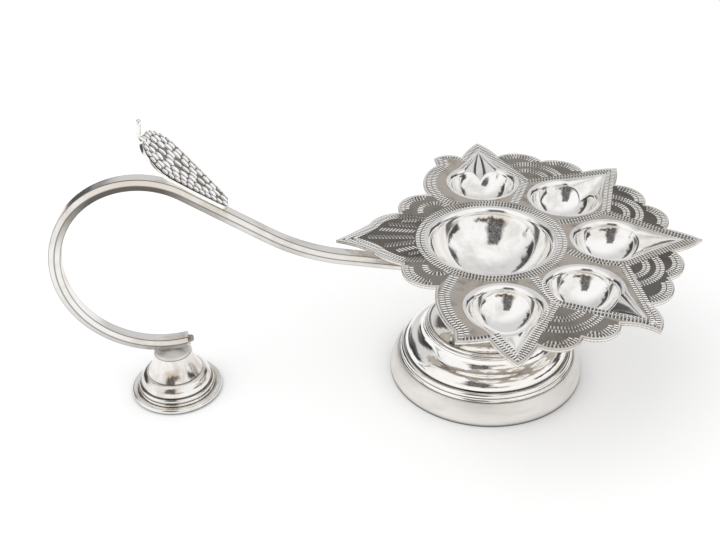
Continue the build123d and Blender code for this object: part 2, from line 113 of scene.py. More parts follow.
def shaped(name, points, faces):
    """New piece made of points in mm and of faces, which are lists of point numbers."""
    mesh = bpy.data.meshes.new(name)
    mesh.from_pydata((np.reshape(points, (-1, 3)) * 0.001).tolist(), [], faces)
    piece = bpy.data.objects.new(name, mesh)
    scene.collection.objects.link(piece)
    return piece


def smoothed(piece, marks=None, solid=True):
    """Shades a piece smoothly. marks, one for each point, become the attribute seam; a solid's points on
    top of each other, as at a pole, are merged and its faces turned out."""
    mesh = piece.data
    if marks is not None:
        mesh.attributes.new("seam", "FLOAT", "POINT").data.foreach_set("value", np.ravel(marks))
    if solid:
        shell = bmesh.new()
        shell.from_mesh(mesh)
        bmesh.ops.remove_doubles(shell, verts=shell.verts, dist=2e-6)
        bmesh.ops.recalc_face_normals(shell, faces=shell.faces)
        shell.to_mesh(mesh)
        shell.free()
    mesh.polygons.foreach_set("use_smooth", np.ones(len(mesh.polygons), bool))
    return piece


def gathered(name, grids, round_rows=False, round_columns=False):
    """Piece made of grids of points (rows, columns, xyz in mm), a quad for each cell. The first and last
    row or column join where a grid goes round."""
    faces, start = [], 0
    for grid in grids:
        index = start + np.arange(grid[..., 0].size).reshape(grid.shape[:2])
        start += index.size
        if round_rows:
            index = np.vstack([index, index[:1]])
        if round_columns:
            index = np.hstack([index, index[:, :1]])
        corners = [index[:-1, :-1], index[1:, :-1], index[1:, 1:], index[:-1, 1:]]
        faces.append(np.stack(corners, axis=-1).reshape(-1, 4))
    points = np.vstack([grid.reshape(-1, 3) for grid in grids])
    return shaped(name, points, np.vstack(faces).tolist())


def sheet(name, points, round_rows=False, round_columns=False, solid=True, marks=None):
    """Smooth piece from one grid of points."""
    return smoothed(gathered(name, [points], round_rows, round_columns), marks, solid)


def spun(name, profile, place=0.0, segments=160, seams=()):
    """Profile (radius, height) carried once round the upright line at x = place, with its seams marked."""
    turn = np.linspace(0, 2 * np.pi, segments, endpoint=False)[:, None]
    marks = None
    if seams:
        profile = finer(profile, seams)
        marks = np.tile(seam_marks(profile, seams), (segments, 1))
    radius, height = profile[None, :, 0], profile[None, :, 1]
    points = np.stack([place + radius * np.cos(turn), radius * np.sin(turn), height + 0 * turn], axis=-1)
    starts_on_axis = profile[0, 0] <= 0.001
    return sheet(name, points, True, not starts_on_axis, marks=marks)


def feed(socket, value):
    """Gives a shader input a value, or a link to another node's output."""
    if isinstance(value, bpy.types.NodeSocket):
        socket.id_data.links.new(value, socket)
    else:
        socket.default_value = value


def node(tree, kind, *inputs, **values):
    """New shader node. inputs feed its sockets in order, except None; values are its settings, or feed the
    socket of that name, where _ stands for a space."""
    made = tree.nodes.new("ShaderNode" + kind)
    for key, value in values.items():
        title = key.replace("_", " ")
        if title in made.inputs:
            feed(made.inputs[title], value)
        else:
            setattr(made, key, value)
    for socket, value in zip(made.inputs, inputs):
        if value is not None:
            feed(socket, value)
    return made


def worked(tree, operation, *terms):
    """Result of a sum on numbers and nodes' outputs."""
    return node(tree, "Math", *terms, operation=operation).outputs[0]


def ramp(tree, value, low, high, first=0.0, last=1.0, smooth=False):
    """Goes from first to last while value goes from low to high, evenly or as a smooth step."""
    return node(
        tree, "MapRange", interpolation_type="SMOOTHSTEP" if smooth else "LINEAR",
        Value=value, From_Min=low, From_Max=high, To_Min=first, To_Max=last,
    ).outputs["Result"]


def blend(tree, share, first, second):
    """Colour that goes from first to second by share."""
    made = node(tree, "Mix", data_type="RGBA")
    for place, value in ((0, share), (6, first), (7, second)):
        feed(made.inputs[place], value)
    return made.outputs[2]


def noise(tree, place, scale, detail, roughness, distortion=0.0):
    """Cloudy pattern of values round a half."""
    return node(
        tree, "TexNoise", Vector=place, Scale=scale, Detail=detail, Roughness=roughness,
        Distortion=distortion,
    ).outputs["Fac"]


def age_group():
    """Shader group for silver that has been handled: broad warm tarnish, fine wear and slow waves."""
    tree = bpy.data.node_groups.new("silver_age", "ShaderNodeTree")
    tree.interface.new_socket("Vector", in_out="INPUT", socket_type="NodeSocketVector")
    for title in ("Tarnish", "Wear", "Waves"):
        tree.interface.new_socket(title, in_out="OUTPUT", socket_type="NodeSocketFloat")
    place = tree.nodes.new("NodeGroupInput").outputs["Vector"]
    tarnish = ramp(tree, noise(tree, place, 55.0, 5.0, 0.62, 0.4), 0.46, 0.74, smooth=True)
    wear, waves = noise(tree, place, 900.0, 3.0, 0.7, 1.5), noise(tree, place, 130.0, 1.5, 0.4)
    for socket, value in zip(tree.nodes.new("NodeGroupOutput").inputs, (tarnish, wear, waves)):
        feed(socket, value)
    return tree


silver_age = age_group()
# Dark tone of the painted shade along seams, joints and edges.
PAINTED_SEAM_SHADE = (0.06, 0.052, 0.045, 1)


def darkened(material, share, tone):
    """Mixes a tone into a silver's colour, by share."""
    colour = material.node_tree.nodes["Principled BSDF"].inputs["Base Color"]
    feed(colour, blend(material.node_tree, share, colour.links[0].from_socket, tone))


def silver(name, clean, tarnished, gloss, worn, wave_height, stretch=(1, 1, 1)):
    """Silver: the colour goes from clean to tarnished and the roughness from gloss to worn by the age
    group's masks, whose waves and wear lift the surface by wave_height (m) and are finer by stretch.
    Painted shade darkens a piece by its attribute seam, along its joints, grooves and edges."""
    material = bpy.data.materials.new(name)
    material.use_nodes = True
    tree = material.node_tree
    place = node(tree, "TexCoord").outputs["Object"]
    mapping = node(tree, "Mapping", Vector=place, Scale=stretch)
    age = node(tree, "Group", node_tree=silver_age, Vector=mapping.outputs["Vector"])
    tarnish, wear, waves = age.outputs
    height = worked(tree, "MULTIPLY_ADD", wear, 0.06, waves)
    bump = node(tree, "Bump", Strength=1.0, Distance=wave_height, Height=height)
    shader = tree.nodes["Principled BSDF"]
    feed(shader.inputs["Metallic"], 1.0)
    feed(shader.inputs["Base Color"], blend(tree, tarnish, (*clean, 1), (*tarnished, 1)))
    feed(shader.inputs["Roughness"], ramp(tree, wear, 0.3, 0.75, gloss, worn))
    feed(shader.inputs["Normal"], bump.outputs["Normal"])
    darkened(material, node(tree, "Attribute", attribute_name="seam").outputs["Fac"], PAINTED_SEAM_SHADE)
    return material


def fitted(piece, material, slot, *nodes):
    """Gives a finished piece its material and the body it rides on, and hides the CAD parts it stands for;
    slot is not used.
    """
    piece.data.materials.clear()
    piece.data.materials.append(material)
    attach(piece, "root")
    if nodes:
        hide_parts(*nodes)
    return piece


def turned(name, stands_for, profile, edge, seams, material, slot="polished_silver", **places):
    """A ring or shell of the lamp, spun from the parts of a profile, with its corners softened by edge and
    painted shade along its seams.
    """
    piece = spun(name, softened(np.vstack(profile), edge), seams=seams, **places)
    return fitted(piece, material, slot, stands_for)


satin_silver = silver(
    "satin_silver", (0.93, 0.91, 0.885), (0.84, 0.805, 0.76), 0.48, 0.60, 3e-5, (1, 1, 5))
polished_silver = silver("polished_silver", (0.95, 0.94, 0.925), (0.87, 0.82, 0.76), 0.03, 0.10, 4e-5)

turned("base_band_shell", "base_band", [
    arc((38.9, 0.0), (36.0, 9.0), 0.7),
    [(36.0, 9.0), (30.3, 9.0), (30.3, 7.8)],
    arc((34.8, 7.8), (37.7, 0.0), -0.7),
    [(37.7, 0.0)],
# The seam at the band's foot paints a dark line of contact shade where the band meets the table.
], 0.2, [(38.9, 0.0, 0.9)], satin_silver, "satin_silver")

# Step ring: a hollow and a bead between the band and the tier above, turned from thick wire,
# soldered on the band's flat top and polished.
turned("base_step_bead", "base_step_ring", [
    [(30.3, 9.0)],
    arc((35.7, 9.0), (34.5, 10.3), -0.45),
    arc((34.5, 10.3), (33.3, 12.2), 0.75),
    [(33.3, 12.2), (30.3, 12.2)],
], 0.1, [(35.7, 9.0, 0.35), (34.5, 10.3, 0.25), (33.3, 12.2, 0.3)], polished_silver)

# S-shaped tier: spun sheet that swells out of the step ring and draws in to the shoulder.


def ogee(foot, top, count=24):
    """Two equal arcs, upright at both ends, that meet half way: the height goes evenly with the turn."""
    foot, top = np.array(foot, float), np.array(top, float)
    middle = (foot + top) / 2
    across, up = middle - foot
    radius = (across**2 + up**2) / (2 * abs(across))
    turn = np.linspace(0, np.arcsin(up / radius), count)
    lower = foot + np.stack([np.sign(across) * radius * (1 - np.cos(turn)), radius * np.sin(turn)], axis=1)
    upper = foot + top - lower[::-1]
    return np.vstack([lower[:-1], upper])


turned("base_tier", "base_ogee", [
    ogee((32.9, 12.2), (25.1, 21.5)),
    [(20.2, 21.5), (20.2, 20.3)],
    ogee((31.7, 12.2), (23.9, 20.3))[::-1],
], 0.12, [(32.9, 12.2, 0.3)], polished_silver)

# Shoulder: two thin beads of wire, one on the other, between the tier and the neck.
turned("base_shoulder_beads", "base_shoulder_ring", [
    [(20.2, 21.5)],
    arc((25.1, 21.5), (24.0, 22.4), 0.45),
    arc((24.0, 22.4), (23.0, 23.3), 0.42),
    [(23.0, 23.3), (20.2, 23.3)],
], 0.06, [(25.1, 21.5, 0.22), (24.0, 22.4, 0.18), (23.0, 23.3, 0.22)], polished_silver)

# Neck and seat: a waisted tube that carries the middle bowl, and a plain collar soldered under the bowl.
waist_radius = 14.5
neck_hollow = (22.8 + 16.5) / 2 - waist_radius
turned("neck_tube", "pedestal_neck", [
    arc((22.8, 23.3), (16.5, 41.2), -neck_hollow, 32),
    [(16.5, 41.2), (15.3, 41.2)],
    arc((15.3, 41.2), (21.6, 23.3), neck_hollow, 32),
    [(21.6, 23.3)],
], 0.15, [(22.8, 23.3, 0.25), (16.5, 41.2, 0.3)], polished_silver)


def finished(node_name, material):
    """Keeps a CAD solid and gives it a better material."""
    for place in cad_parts[node_name].material_slots:
        place.material = material


finished("bowl_seat", polished_silver)

# Flower tray: flat sheet sawn out as a flower with five petals and a tongue over the handle. The sheet is
# left matt and a little brown, and a rounded bright rim runs round its edge.
TRAY_TOP = 61.2
PETAL_ANGLES = (-94.0, -53.0, -7.0, 38.5, 84.0)
PETAL_TIP, TONGUE_TIP, TONGUE_ANGLE = 80.4, 59.6, 174.0


def at(radius, angle):
    """Point of the tray at a radius and an angle in degrees from the middle bowl's axis."""
    return radius * np.stack([np.cos(np.radians(angle)), np.sin(np.radians(angle))], axis=-1)


FRONT_STEPS = (
    (46.5, 9.0, -0.8), (38.2, 26.2, 1.1), (39.3, 36.4, 5.0),
    (62.1, 18.1, 2.6), (67.8, 16.7, 0.01), (64.6, 6.8, 0.5),
)
BACK_STEPS = (
    (48.4, 14.0, -0.3), (40.3, 30.4, 2.3), (41.7, 33.2, 5.5),
    (63.0, 17.0, 3.9), (69.0, 16.4, 0.01), (67.5, 6.4, 2.7),
)
ROOT_RADIUS, ROOT_ANGLE = 68.5, 6.8
PETAL_SWELL, SCALLOP_SWELL = 0.7, 4.6


def petal_tip(number):
    """Tip of a petal, counted from the front: the first one is cut short and the second one leans."""
    short, lean = 2.0 * (number == 1), 1.7 * (number == 2)
    return at(PETAL_TIP - short, PETAL_ANGLES[number - 1] - lean)


def handle_sides(number, steps, way):
    """Sides (start, end, swell) from the tongue's tip to an end petal's tip, way 1 in front and -1 behind.
    Two steps (radius, angle, swell) count from the tongue's middle and the others from the petal's."""
    petal_angle = PETAL_ANGLES[number - 1]
    corners = [(at(TONGUE_TIP, TONGUE_ANGLE), 0.0)]
    corners += [(at(radius, TONGUE_ANGLE + way * angle), swell) for radius, angle, swell in steps[:2]]
    corners += [(at(radius, petal_angle - way * angle), swell) for radius, angle, swell in steps[2:]]
    corners.append((petal_tip(number), PETAL_SWELL))
    sides = [(start, end, swell) for (start, _), (end, swell) in zip(corners, corners[1:])]
    return sides if way == 1 else [(end, start, swell) for start, end, swell in sides[::-1]]


tray_sides = handle_sides(1, FRONT_STEPS, 1)
for number, (petal_angle, next_angle) in enumerate(zip(PETAL_ANGLES, PETAL_ANGLES[1:]), 1):
    back_swell = 2.5 if number == 2 else PETAL_SWELL
    front_swell = -1.5 if number == 1 else PETAL_SWELL
    root_angles = (petal_angle + ROOT_ANGLE, (petal_angle + next_angle) / 2, next_angle - ROOT_ANGLE)
    roots = [at(ROOT_RADIUS, angle) for angle in root_angles]
    tray_sides += [
        (petal_tip(number), roots[0], back_swell), (roots[0], roots[1], SCALLOP_SWELL),
        (roots[1], roots[2], SCALLOP_SWELL), (roots[2], petal_tip(number + 1), front_swell),
    ]
tray_sides += handle_sides(5, BACK_STEPS, -1)
tray_edge = [np.vstack([arc(start, end, swell, 24), end]) for start, end, swell in tray_sides]


def side_ways(line):
    """Unit direction and unit left-hand normal at each point of a line."""
    step = np.gradient(line, axis=0)
    way = step / np.linalg.norm(step, axis=1, keepdims=True)
    return way, np.stack([-way[:, 1], way[:, 0]], axis=1)


def inset(number, distance):
    """Line at a distance inside one side of the flower. It ends where it meets the next side's line, on
    the corner's bisector, and points that would lie past that are drawn back to it."""
    line = tray_edge[number]
    way, left = side_ways(line)
    inner = line + distance * left
    neighbours = (tray_edge[number - 1][-2:], tray_edge[(number + 1) % len(tray_edge)][:2])
    for order, neighbour in ((1, neighbours[0]), (-1, neighbours[1])):
        middle = left[::order][0] + side_ways(neighbour)[1][0]
        middle /= np.linalg.norm(middle)
        corner = line[::order][0]
        meet = corner + middle * distance / (middle @ left[::order][0])
        leave = order * way[::order][0]
        ahead = (inner[::order] - corner) @ (leave - (leave @ middle) * middle) > 0
        first = max(int(np.argmax(ahead)), 1)
        inner[::order][:first] = meet
    return inner


petal_ground = silver(
    "petal_ground", (0.56, 0.512, 0.46), (0.28, 0.245, 0.205), 0.36, 0.50, 9e-5, (2.4, 2.4, 2.4))
finished("tray_plate", petal_ground)

rim_profile = [
    (1.05, 0.02), (0.8, 0.09), (0.45, 0.11), (0.16, 0.02), (0.02, -0.2), (-0.03, -0.6), (0.02, -1.0),
    (0.16, -1.2), (0.5, -1.25), (1.0, -1.24), (1.0, -0.6),
]
rim_loops = []
for distance, height in rim_profile:
    loop = np.vstack([inset(number, distance)[:-1] for number in range(len(tray_edge))])
    rim_loops.append(np.c_[loop, np.full(len(loop), TRAY_TOP + height)])
tray_rim = sheet("tray_rim", np.array(rim_loops), round_rows=True, round_columns=True)
rim_silver = silver("rim_silver", (0.88, 0.865, 0.84), (0.66, 0.61, 0.55), 0.14, 0.30, 4e-5)
fitted(tray_rim, rim_silver, "polished_silver")

# Fields between the petals, beside the tongue and on it: the same sheet, punched and darkened, the tongue
# and the two gaps on the far side most. Each gap has a corner where the borders of its two petals meet.
GAP_CORNERS = (at(47.3, -71.5), at(51.2, -27.5), at(51.1, 16.8), at(49.0, 62.5))
FIELD_INSET, FIELD_LIFT, RING_INSIDE = 0.7, 0.015, 25.0
last = len(tray_edge) - 1


def fields(name, lines, material):
    """One flat piece just over the sheet, with a face for each closed line."""
    points = np.vstack(lines)
    faces = np.split(np.arange(len(points)), np.cumsum([len(line) for line in lines])[:-1])
    points = np.c_[points, np.full(len(points), TRAY_TOP + FIELD_LIFT)]
    return fitted(shaped(name, points, [face.tolist() for face in faces]), material, "engraved_silver")


gap_fields = [
    np.vstack([[corner], inset(8 + 4 * gap, FIELD_INSET), inset(9 + 4 * gap, FIELD_INSET)])
    for gap, corner in enumerate(GAP_CORNERS)
]
tongue_sides = [inset(side, FIELD_INSET) for side in (last - 1, last, 0, 1)]
tongue_field = np.vstack([*tongue_sides, at(RING_INSIDE, np.linspace(200.2, 143.6, 20))])
front_field = np.vstack([inset(2, FIELD_INSET), at(RING_INSIDE, np.linspace(-130.4, -159.8, 20))])
back_field = np.vstack([inset(last - 2, FIELD_INSET), at(RING_INSIDE, np.linspace(143.6, 117.2, 20))])
dark_ground = silver("dark_ground", (0.175, 0.16, 0.145), (0.11, 0.10, 0.088), 0.38, 0.52, 9e-5)
grey_ground = silver("grey_ground", (0.32, 0.29, 0.26), (0.20, 0.18, 0.158), 0.36, 0.50, 9e-5)
fields("tray_dark_fields", [gap_fields[1], gap_fields[2], tongue_field], dark_ground)
fields("tray_grey_fields", [gap_fields[0], gap_fields[3], front_field, back_field], grey_ground)

# Engraving: rows of short bright cuts, pressed with a small toothed tool along the borders of the petals,
# round the bowl, over the scallops and along the tongue.
CUT_START, CUT_RIDGE, CUT_END, CUT_HEIGHT, CUT_FOOT = 0.05, 0.36, 0.67, 0.26, 0.03


def cut_row(line, width, pitch=1.27, lean=0.0):
    """Row of raised cuts along a line: a grid (stations, 5 across, xyz) and its uv. Each pitch has a ridge
    of triangle shape and a flat gap; the ridge ends at both sides, which dip under the sheet."""
    run = run_of(line)
    teeth = max(int(round(run[-1] / pitch)), 1)
    phase = (np.arange(teeth)[:, None] + np.array([CUT_START, CUT_RIDGE, CUT_END])).ravel()
    across = np.array([-1.0, -0.88, 0.0, 0.88, 1.0])
    place = np.clip(phase[:, None] * run[-1] / teeth + lean * across * width / 2, 0, run[-1])
    normal = taken(place, run, side_ways(line)[1])
    points = taken(place, run, line) + normal * (across * width / 2)[:, None]
    ridge = np.tile([0.0, 1.0, 0.0], teeth)[:, None] * CUT_HEIGHT + CUT_FOOT
    height = np.where(np.abs(across) == 1, -CUT_FOOT, ridge * (1 - 0.15 * across**2))
    uv = np.stack([phase[:, None] + 0 * across, across + 0 * phase[:, None]], axis=-1)
    return np.concatenate([points, (TRAY_TOP + height)[..., None]], axis=-1), uv


def cut_piece(name, rows):
    """One flat-shaded piece of many rows of cuts, with the uv of each row."""
    piece = gathered(name, [points for points, _ in rows])
    corners = np.zeros(len(piece.data.loops), int)
    piece.data.loops.foreach_get("vertex_index", corners)
    uvs = np.vstack([uv.reshape(-1, 2) for _, uv in rows])
    piece.data.uv_layers.new(name="cuts").data.foreach_set("uv", uvs[corners].ravel())
    if piece.data.polygons[0].normal.z < 0:
        piece.data.flip_normals()
    return fitted(piece, bright_cuts, "engraved_silver")


def cut_silver():
    """Silver that is bright on each cut, with painted shade in the gaps between: the uv's u counts the
    cuts, so its fraction tells how far a point is from a cut's ridge."""
    material = silver("cut_silver", (0.93, 0.92, 0.90), (0.80, 0.77, 0.72), 0.18, 0.34, 1e-5)
    tree = material.node_tree
    place = node(tree, "UVMap", uv_map="cuts").outputs["UV"]
    count = node(tree, "SeparateXYZ", Vector=place).outputs["X"]
    from_ridge = worked(tree, "SUBTRACT", worked(tree, "FRACT", count), CUT_RIDGE)
    gap = ramp(tree, worked(tree, "ABSOLUTE", from_ridge), 0.23, 0.33, smooth=True)
    # Painted shade in the gap beside each cut.
    darkened(material, gap, (0.14, 0.128, 0.113, 1))
    return material


bright_cuts = cut_silver()

# Petal borders: two rows beside each other along both sides of a petal, from its tip past the scallops to
# the corner of the gap. There the outer row ends and the inner row goes on to the ring round the bowl.
RIM_WIDTH, ROW_WIDTH, ROW_GAP, RING_OUTSIDE = 1.0, 1.65, 0.25, 29.6
outer_row = RIM_WIDTH + ROW_WIDTH / 2
inner_row = outer_row + ROW_WIDTH + ROW_GAP
SHARED_LINES = (
    (at(38.6, -70.5), at(RING_OUTSIDE, -68.8)),
    (at(42.5, -28.5), at(34.6, -26.5), at(RING_OUTSIDE, -23.0)),
    (at(43.3, 15.7), at(34.6, 16.2), at(RING_OUTSIDE, 18.5)),
    (at(40.0, 62.0), at(RING_OUTSIDE, 61.5)),
)
petal_rows = []
for gap, (corner, shared) in enumerate(zip(GAP_CORNERS, SHARED_LINES)):
    for side_number, way in ((7 + 4 * gap, 1), (10 + 4 * gap, -1)):
        shared_line = np.array([corner, *shared])
        half = (ROW_WIDTH + ROW_GAP) / 2
        inward = shared_line + way * half * side_ways(shared_line)[1]
        outer = inset(side_number, outer_row)[::way]
        inner = inset(side_number, inner_row)[::way]
        last_way = corner - (outer[-4] + inner[-4]) / 2
        last_way /= np.linalg.norm(last_way)
        apart = way * np.array([-last_way[1], last_way[0]]) * half
        outer_line = softened(np.vstack([outer[:-5], [corner - apart]]), 0.9, False)
        inner_line = softened(np.vstack([inner[:-5], [corner + apart], inward[1:]]), 1.4, False)
        petal_rows += [cut_row(outer_line, ROW_WIDTH), cut_row(inner_line, ROW_WIDTH)]

# Flanks of the two end petals: the border follows the outer side from the horn and runs in to the ring.
FLANK_RIM, FLANK_ROW = 1.3, 1.85
FRONT_RUN_IN = ((RING_OUTSIDE, -127.3),)
BACK_RUN_IN = ((36.9, 113.7), (31.4, 111.3), (29.5, 107.0))
for horn_side, way, run_in in ((4, 1, FRONT_RUN_IN), (last - 4, -1, BACK_RUN_IN)):
    for half_step in (-0.5, 0.5):
        apart = half_step * (FLANK_ROW + ROW_GAP)
        offset = FLANK_RIM + FLANK_ROW + ROW_GAP / 2 + apart
        horn = inset(horn_side, offset)[::-way]
        flank = inset(horn_side - way, offset)[::-way]
        ends = [at(radius, angle + way * np.degrees(apart / radius)) for radius, angle in run_in]
        flank_line = softened(np.vstack([horn[:-1], flank[:-3], ends]), 1.2, False)
        petal_rows.append(cut_row(flank_line, FLANK_ROW, 1.38))
    petal_rows.append(cut_row(inset(horn_side + way, outer_row)[::way], ROW_WIDTH))
    for offset in (outer_row, inner_row):
        petal_rows.append(cut_row(inset(horn_side + 2 * way, offset)[::-way], ROW_WIDTH))
cut_piece("petal_border_cuts", petal_rows)

# Ring round the middle bowl: two rows.
ring_angles = np.linspace(0, 360, 361)
ring_rows = [cut_row(at(radius, ring_angles), 1.75, 1.24) for radius in (26.3, 28.2)]
cut_piece("bowl_ring_cuts", ring_rows)

# Gaps between the petals: two rows along each scallop, and two pairs of arcs round the corner of the gap,
# which end at the petals' borders. Beside the tongue: two rows along the scallop and one broad loop.
SCALLOP_ROW, SCALLOP_GAP = 1.7, 0.15
GAP_DEPTH = 17.3
ARCS = ((7.3, 1.3), (8.8, 1.4), (12.2, 1.5), (13.9, 1.6))


def scallop(side_number, pitch):
    """Two rows of cuts along one scallop of the tray's edge."""
    offsets = (RIM_WIDTH + SCALLOP_ROW / 2, RIM_WIDTH + SCALLOP_ROW * 1.5 + SCALLOP_GAP)
    lines = [inset(side_number, offset)[order:-order] for order, offset in enumerate(offsets, 1)]
    return [cut_row(line, SCALLOP_ROW, pitch) for line in lines]


gap_rows = []
for gap, corner in enumerate(GAP_CORNERS):
    gap_rows += scallop(8 + 4 * gap, 1.22) + scallop(9 + 4 * gap, 1.22)
    size = (ROOT_RADIUS - np.linalg.norm(corner)) / GAP_DEPTH
    border = (outer_row + inner_row) / 2
    sides = [inset(7 + 4 * gap, border)[-6] - corner, inset(10 + 4 * gap, border)[5] - corner]
    start, end = np.unwrap([np.arctan2(side[1], side[0]) for side in sides])
    for radius, width in ARCS:
        margin = np.arcsin(ROW_WIDTH / (radius * size))
        turns = np.degrees(np.linspace(start + margin, end - margin, 40))
        gap_rows.append(cut_row(corner + at(radius * size, turns), width, 1.2))
for side_number, centre, radius, start, end in (
    (2, (-23.1, -16.8), 4.7, 160, 315), (last - 2, (-18.3, 23.8), 6.0, 190, 30),
):
    gap_rows += scallop(side_number, 1.25)
    gap_rows.append(cut_row(centre + at(radius, np.linspace(start, end, 40)), 2.4, 1.25))
cut_piece("scallop_cuts", gap_rows)

# Tongue: two rows inside each edge and seven straight rows that fan out from the ring.
tongue_rows = []
for sides, way, ring_angle in (((0, 1), 1, 205.0), ((last, last - 1), -1, 139.0)):
    for offset in (RIM_WIDTH + 0.8, RIM_WIDTH + 2.5):
        line = [inset(number, offset)[::way][:-1] for number in sides]
        ring_end = at(RING_OUTSIDE, ring_angle - way * 3.0 * (offset - 1.8))
        line = softened(np.vstack([*line, ring_end]), 0.7, False)
        tongue_rows.append(cut_row(line, 1.6, 1.2, 0.6 * way))
TONGUE_FAN = (
    ((-32.5, 17.4), (-26.2, 16.6), 1.9), ((-38.0, 15.8), (-27.0, 12.8), 2.3),
    ((-41.8, 12.2), (-28.0, 9.0), 2.4), ((-47.2, 7.2), (-29.0, 5.0), 2.4),
    ((-41.4, 0.0), (-29.0, 1.4), 2.4), ((-37.0, -4.2), (-28.9, -2.2), 2.3),
    ((-33.0, -7.0), (-28.3, -6.0), 1.9),
)
for order, (start, end, width) in enumerate(TONGUE_FAN):
    tongue_rows.append(cut_row(np.linspace(start, end, 20), width, 1.3, 0.55 * (-1) ** order))
cut_piece("tongue_cuts", tongue_rows)

# Middle bowl: raised from sheet, with a rounded shoulder where it meets the tray and a mirror inside.


def bowl_ball(mouth, mouth_depth, depth):
    """Radius of the ball that passes through the mouth's edge and the bowl's bottom."""
    fall = depth - mouth_depth
    return (mouth**2 + fall**2) / (2 * fall)


mouth, mouth_depth, depth, wall = 22.9, 2.0, 19.0, 1.0
shoulder_width, lip_lift, flange_width, flange_depth = 2.35, 0.05, 0.4, 0.3
ball = bowl_ball(mouth, mouth_depth, depth)
turn = np.linspace(0, np.arcsin(mouth / ball), 44)
inside = np.stack([ball * np.sin(turn), TRAY_TOP - depth + ball * (1 - np.cos(turn))], axis=1)
bend = np.linspace(0, np.pi / 2, 14)[1:]
shoulder = np.stack([
    mouth + shoulder_width * (1 - np.cos(bend)),
    TRAY_TOP + lip_lift - (mouth_depth + lip_lift) * (1 - np.sin(bend)),
], axis=1)
flange_edge = mouth + shoulder_width + flange_width
under = np.array([(flange_edge, TRAY_TOP), (flange_edge, TRAY_TOP - flange_depth)])
outer_turn = np.linspace(np.arccos((ball - depth + flange_depth) / (ball + wall)), 0, 40)
outside = np.stack([
    (ball + wall) * np.sin(outer_turn), TRAY_TOP - depth + ball - (ball + wall) * np.cos(outer_turn)
], axis=1)
bowl = np.vstack([inside, shoulder, under, outside])
bowl[0, 0] = bowl[-1, 0] = 0
bowl_silver = silver(
    "bowl_silver", (0.95, 0.94, 0.925), (0.72, 0.69, 0.65), 0.03, 0.13, 4e-5, (1.6, 1.6, 1.6))
fitted(spun("middle_bowl", bowl, segments=192), bowl_silver, "polished_silver", "centre_bowl")

# Wick bowls: five small bowls pressed into the petals, each drawn out at the front into a pinched spout.
WICK_PLACE = PETAL_TIP * 0.5634


def drop(angle, radius, tip, half_angle):
    """Distance to a drop-shaped outline seen from its middle: a circle, drawn out to a point at angle 0
    between two straight sides that close at half_angle on each side. The join is a small hollow curve."""
    blunt, sharpness = 0.008, 3.0
    from_tip = np.sqrt(angle**2 + blunt**2)
    side = tip * np.sin(half_angle) / np.sin(np.clip(half_angle + from_tip, 0, np.pi / 2 + 0.3))
    side = np.where(from_tip + half_angle > np.pi / 2, 0, side)
    return np.logaddexp(sharpness * radius, sharpness * side) / sharpness


def wick_grid(rings=48, around=240):
    """Bowl with its spout towards +x and its mouth at z = 0, as (around, ring, xyz). In plan the mouth is
    drop-shaped; inside, the depth is the greater of a ball's and of a V-shaped channel's that rises to the
    tip; outside, a quarter ellipse rounds the mouth off to the tray in a wider drop shape."""
    mouth, depth, edge_depth, tip, half_angle = 12.6, 11.0, 1.7, 25.5, np.radians(24)
    outer_mouth, outer_tip, outer_half_angle, least_lip = 14.9, 28.3, np.radians(29.2), 0.8
    tip_keel, keel_slope, tip_edge, edge_gain, edge_run = 0.3, 0.37, 0.2, 1.4, 13
    wall, lip_lift, flange_width = 1.0, 0.05, 0.3
    spread = np.linspace(-1, 1, around, endpoint=False)
    angle = np.pi * np.sign(spread) * np.abs(spread) ** 1.7
    reach = drop(angle, mouth, tip, half_angle)
    outer = np.maximum(drop(angle, outer_mouth, outer_tip, outer_half_angle), reach + least_lip)
    heading = np.stack([np.cos(angle), np.sin(angle)], axis=1)
    ball = bowl_ball(mouth, edge_depth, depth)
    lean = np.linspace(0, np.arcsin(mouth / ball), rings)
    share = np.sin(lean) / np.sin(lean[-1])
    x, y = (heading[:, None, k] * reach[:, None] * share for k in range(2))
    far = np.clip(np.hypot(x, y), 0, ball - 0.01)
    ball_depth = np.sqrt(ball**2 - far**2) - ball + depth
    left_over = np.clip(tip - x, 0, None)
    keel = tip_keel + left_over * keel_slope
    half = left_over * np.tan(half_angle) + 0.05
    edge = tip_edge + edge_gain * np.clip(left_over / edge_run, 0, 1) ** 2
    channel = edge + (keel - edge) * (1 - np.clip(np.abs(y) / half, 0, 1)) ** 1.7
    channel = np.where(x > 3, channel, -5)
    hollow = np.logaddexp(2 * ball_depth, 2 * channel) / 2
    inside = np.stack([x, y, -hollow], axis=-1)
    bend = np.linspace(0, np.pi / 2, 12)[1:]
    ring = reach[:, None] + (outer - reach)[:, None] * (1 - np.cos(bend))
    lip = lip_lift - (hollow[:, -1:] + lip_lift) * (1 - np.sin(bend))
    shoulder = np.stack([heading[:, None, 0] * ring, heading[:, None, 1] * ring, lip], axis=-1)
    flange = heading * (outer[:, None] + flange_width)
    edges = np.stack([np.c_[flange, 0 * angle], np.c_[flange, 0 * angle - flange_width]], axis=1)
    skin = inside[:, ::-1].copy()
    grow = 1 + wall / np.maximum(np.hypot(skin[..., 0], skin[..., 1]), 6.0)
    skin[..., :2] *= grow[..., None]
    skin[..., 2] = np.minimum(skin[..., 2] - 0.75, -0.5)
    return np.concatenate([inside, shoulder, edges, skin], axis=1)


wick_points = wick_grid()
for number, petal_angle in enumerate(PETAL_ANGLES, 1):
    way, side = at(1.0, petal_angle), at(1.0, petal_angle + 90)
    flat = (wick_points[..., :1] + WICK_PLACE) * way + wick_points[..., 1:2] * side
    placed = np.concatenate([flat, TRAY_TOP + wick_points[..., 2:]], axis=-1)
    wick_piece = sheet(f"petal_bowl_{number}", placed, round_rows=True)
    fitted(wick_piece, bowl_silver, "polished_silver", f"wick_bowl_{number}")

# Handle bar: a stout six-sided rod, drawn and then bent round a former, soldered to the middle bowl's
# wall. Its path lies in the plane y = 0 and is made of two straights and three arcs.


